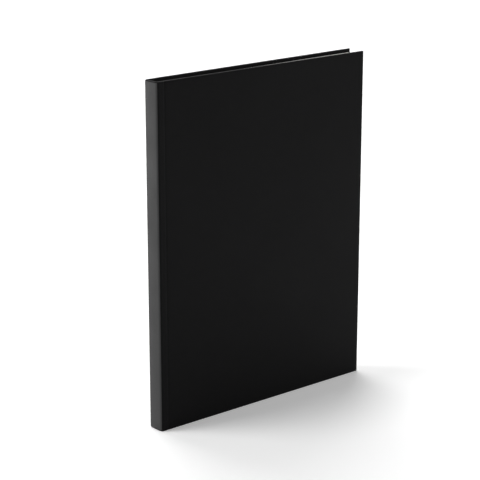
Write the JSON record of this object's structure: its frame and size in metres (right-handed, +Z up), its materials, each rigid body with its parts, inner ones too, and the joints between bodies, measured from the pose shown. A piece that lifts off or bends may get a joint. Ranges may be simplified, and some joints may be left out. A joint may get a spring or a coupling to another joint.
{
  "type": "weekly planner",
  "caption": "Slim casebound weekly planner standing on its tail edge: black covers on hinge creases, square spine and sewn sections of leaves that fan as a cover opens.",
  "frame": {"origin": "middle of the spine's tail face, on the surface that the planner stands on", "axes": "+X from the spine to the fore edge, -Y out of the front cover, +Z up the spine from tail to head"},
  "size_m": [0.19, 0.0166, 0.25],
  "materials": {
    "black_covering": "matte",
    "greyboard": "matte",
    "endpaper": "matte",
    "page_paper": "matte",
    "thread": "matte",
    "gauze": "matte",
    "liner_paper": "matte",
    "headband": "satin"
  },
  "bodies": {
    "spine": {"spine_board": "greyboard", "spine_covering": "black_covering", "front_joint_strip": "greyboard", "back_joint_strip": "greyboard", "section_folds": "page_paper", "endpaper_folds": "endpaper", "sewing_thread": "thread", "spine_gauze": "gauze", "spine_liner": "liner_paper", "head_band": "headband", "tail_band": "headband"},
    "front_cover": {"front_board": "greyboard", "front_covering": "black_covering", "front_pastedown": "endpaper"},
    "back_cover": {"back_board": "greyboard", "back_covering": "black_covering", "back_pastedown": "endpaper"},
    "front_flyleaf": {"front_flyleaf": "endpaper"},
    "back_flyleaf": {"back_flyleaf": "endpaper"},
    "section_01": {"section_01": "page_paper"},
    "section_02": {"section_02": "page_paper"},
    "section_03": {"section_03": "page_paper"},
    "section_04": {"section_04": "page_paper"},
    "section_05": {"section_05": "page_paper"},
    "section_06": {"section_06": "page_paper"},
    "section_07": {"section_07": "page_paper"},
    "section_08": {"section_08": "page_paper"},
    "section_09": {"section_09": "page_paper"},
    "section_10": {"section_10": "page_paper"},
    "section_11": {"section_11": "page_paper"},
    "section_12": {"section_12": "page_paper"},
    "section_13": {"section_13": "page_paper"},
    "section_14": {"section_14": "page_paper"},
    "section_15": {"section_15": "page_paper"},
    "section_16": {"section_16": "page_paper"}
  },
  "joints": [
    {"name": "front_cover_hinge", "type": "hinge", "parent": "spine", "child": "front_cover", "pos_m": [0.0057, -0.0071, 0.125], "axis": [0, 0, -1], "range_deg": [-0.8, 179.2]},
    {"name": "back_cover_hinge", "type": "hinge", "parent": "spine", "child": "back_cover", "pos_m": [0.0057, 0.0071, 0.125], "axis": [0, 0, 1], "range_deg": [0, 180]},
    {"name": "front_flyleaf_turn", "type": "hinge", "parent": "spine", "child": "front_flyleaf", "pos_m": [0.0057, -0.0045, 0.125], "axis": [0, 0, -1], "range_deg": [-0.4, 89.6]},
    {"name": "section_01_turn", "type": "hinge", "parent": "spine", "child": "section_01", "pos_m": [0.0057, -0.0045, 0.125], "axis": [0, 0, -1], "range_deg": [-0.37, 82.88]},
    {"name": "section_02_turn", "type": "hinge", "parent": "spine", "child": "section_02", "pos_m": [0.0057, -0.0045, 0.125], "axis": [0, 0, -1], "range_deg": [-0.34, 76.16]},
    {"name": "section_03_turn", "type": "hinge", "parent": "spine", "child": "section_03", "pos_m": [0.0057, -0.0045, 0.125], "axis": [0, 0, -1], "range_deg": [-0.31, 69.44]},
    {"name": "section_04_turn", "type": "hinge", "parent": "spine", "child": "section_04", "pos_m": [0.0057, -0.0045, 0.125], "axis": [0, 0, -1], "range_deg": [-0.28, 62.72]},
    {"name": "section_05_turn", "type": "hinge", "parent": "spine", "child": "section_05", "pos_m": [0.0057, -0.0045, 0.125], "axis": [0, 0, -1], "range_deg": [-0.25, 56]},
    {"name": "section_06_turn", "type": "hinge", "parent": "spine", "child": "section_06", "pos_m": [0.0057, -0.0045, 0.125], "axis": [0, 0, -1], "range_deg": [-0.22, 49.28]},
    {"name": "section_07_turn", "type": "hinge", "parent": "spine", "child": "section_07", "pos_m": [0.0057, -0.0045, 0.125], "axis": [0, 0, -1], "range_deg": [-0.19, 42.56]},
    {"name": "section_08_turn", "type": "hinge", "parent": "spine", "child": "section_08", "pos_m": [0.0057, -0.0045, 0.125], "axis": [0, 0, -1], "range_deg": [-0.16, 35.84]},
    {"name": "section_09_turn", "type": "hinge", "parent": "spine", "child": "section_09", "pos_m": [0.0057, 0.0045, 0.125], "axis": [0, 0, 1], "range_deg": [0, 36]},
    {"name": "section_10_turn", "type": "hinge", "parent": "spine", "child": "section_10", "pos_m": [0.0057, 0.0045, 0.125], "axis": [0, 0, 1], "range_deg": [0, 42.75]},
    {"name": "section_11_turn", "type": "hinge", "parent": "spine", "child": "section_11", "pos_m": [0.0057, 0.0045, 0.125], "axis": [0, 0, 1], "range_deg": [0, 49.5]},
    {"name": "section_12_turn", "type": "hinge", "parent": "spine", "child": "section_12", "pos_m": [0.0057, 0.0045, 0.125], "axis": [0, 0, 1], "range_deg": [0, 56.25]},
    {"name": "section_13_turn", "type": "hinge", "parent": "spine", "child": "section_13", "pos_m": [0.0057, 0.0045, 0.125], "axis": [0, 0, 1], "range_deg": [0, 63]},
    {"name": "section_14_turn", "type": "hinge", "parent": "spine", "child": "section_14", "pos_m": [0.0057, 0.0045, 0.125], "axis": [0, 0, 1], "range_deg": [0, 69.75]},
    {"name": "section_15_turn", "type": "hinge", "parent": "spine", "child": "section_15", "pos_m": [0.0057, 0.0045, 0.125], "axis": [0, 0, 1], "range_deg": [0, 76.5]},
    {"name": "section_16_turn", "type": "hinge", "parent": "spine", "child": "section_16", "pos_m": [0.0057, 0.0045, 0.125], "axis": [0, 0, 1], "range_deg": [0, 83.25]},
    {"name": "back_flyleaf_turn", "type": "hinge", "parent": "spine", "child": "back_flyleaf", "pos_m": [0.0057, 0.0045, 0.125], "axis": [0, 0, 1], "range_deg": [0, 90]}
  ],
  "couplings": [
    {"joint": "front_flyleaf_turn", "follows": "front_cover_hinge", "ratio": 0.5},
    {"joint": "section_01_turn", "follows": "front_cover_hinge", "ratio": 0.4625},
    {"joint": "section_02_turn", "follows": "front_cover_hinge", "ratio": 0.425},
    {"joint": "section_03_turn", "follows": "front_cover_hinge", "ratio": 0.3875},
    {"joint": "section_04_turn", "follows": "front_cover_hinge", "ratio": 0.35},
    {"joint": "section_05_turn", "follows": "front_cover_hinge", "ratio": 0.3125},
    {"joint": "section_06_turn", "follows": "front_cover_hinge", "ratio": 0.275},
    {"joint": "section_07_turn", "follows": "front_cover_hinge", "ratio": 0.2375},
    {"joint": "section_08_turn", "follows": "front_cover_hinge", "ratio": 0.2},
    {"joint": "section_09_turn", "follows": "back_cover_hinge", "ratio": 0.2},
    {"joint": "section_10_turn", "follows": "back_cover_hinge", "ratio": 0.2375},
    {"joint": "section_11_turn", "follows": "back_cover_hinge", "ratio": 0.275},
    {"joint": "section_12_turn", "follows": "back_cover_hinge", "ratio": 0.3125},
    {"joint": "section_13_turn", "follows": "back_cover_hinge", "ratio": 0.35},
    {"joint": "section_14_turn", "follows": "back_cover_hinge", "ratio": 0.3875},
    {"joint": "section_15_turn", "follows": "back_cover_hinge", "ratio": 0.425},
    {"joint": "section_16_turn", "follows": "back_cover_hinge", "ratio": 0.4625},
    {"joint": "back_flyleaf_turn", "follows": "back_cover_hinge", "ratio": 0.5}
  ]
}
